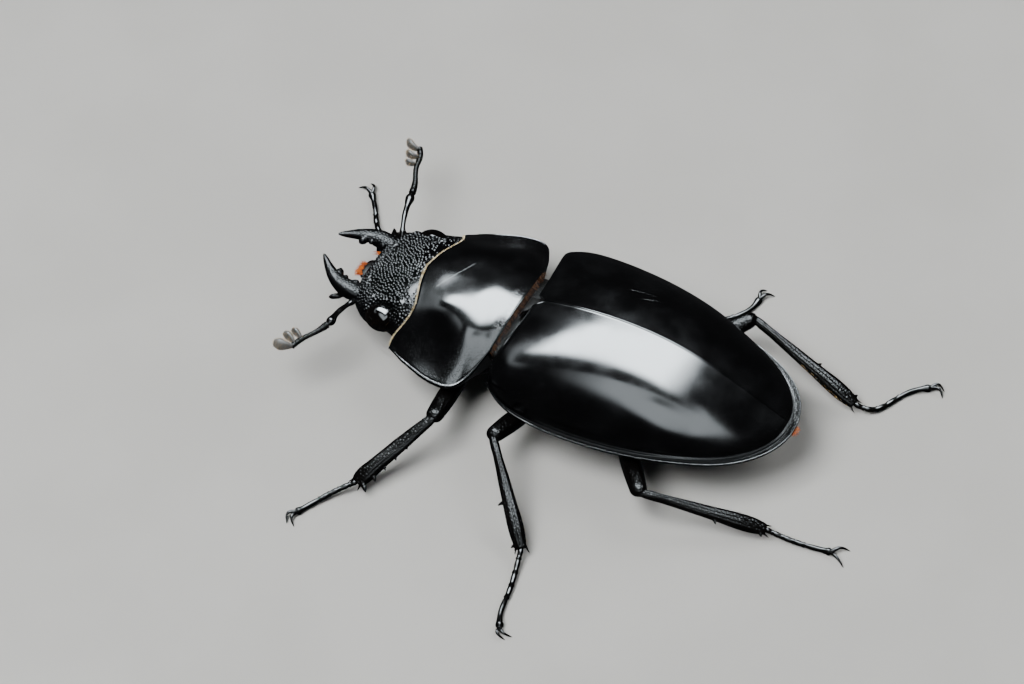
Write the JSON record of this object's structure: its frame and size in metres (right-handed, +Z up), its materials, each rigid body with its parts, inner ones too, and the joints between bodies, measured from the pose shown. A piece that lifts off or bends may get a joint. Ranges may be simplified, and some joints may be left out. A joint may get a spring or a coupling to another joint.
{
  "type": "female stag beetle, still life-size model",
  "caption": "Glossy black female stag beetle standing on spread legs, with short toothed jaws, a pitted head, elbowed feelers and smooth wing cases.",
  "frame": {"origin": "middle of the whole animal's footprint, on the floor under its feet", "axes": "+X to the beetle's left, +Y toward its tail, +Z up"},
  "size_m": [0.0434, 0.0554, 0.0105],
  "materials": {
    "shell": "mirror-glossy black shell with very fine scratches and points",
    "head_shell": "glossy black shell, densely and coarsely pitted",
    "leg": "satin black shell with coarse points and lengthwise ridges",
    "eye": "very dark brown, smooth and glossy, finely faceted",
    "belly": "satin black-brown shell with fine points",
    "feeler": "black glossy stalk, grey velvety leaves at the club",
    "mouth": "dark brown, with an orange-brown brush of bristles",
    "hair": "golden to orange-brown bristles"
  },
  "bodies": {
    "root": {"abdomen": "belly", "antenna_left": "feeler", "antenna_right": "feeler", "coxa_front_left": "leg", "coxa_front_right": "leg", "coxa_hind_left": "leg", "coxa_hind_right": "leg", "coxa_mid_left": "leg", "coxa_mid_right": "leg", "elytron_left": "shell", "elytron_right": "shell", "eye_left": "eye", "eye_right": "eye", "femur_front_left": "leg", "femur_front_right": "leg", "femur_hind_left": "leg", "femur_hind_right": "leg", "femur_mid_left": "leg", "femur_mid_right": "leg", "head": "head_shell", "labrum": "mouth", "mandible_left": "head_shell", "mandible_right": "head_shell", "palp_left": "mouth", "palp_right": "mouth", "pronotum": "shell", "prosternum": "belly", "scutellum": "shell", "sternum": "belly", "tarsus_front_left": "leg", "tarsus_front_right": "leg", "tarsus_hind_left": "leg", "tarsus_hind_right": "leg", "tarsus_mid_left": "leg", "tarsus_mid_right": "leg", "tibia_front_left": "leg", "tibia_front_right": "leg", "tibia_hind_left": "leg", "tibia_hind_right": "leg", "tibia_mid_left": "leg", "tibia_mid_right": "leg"}
  },
  "joints": []
}
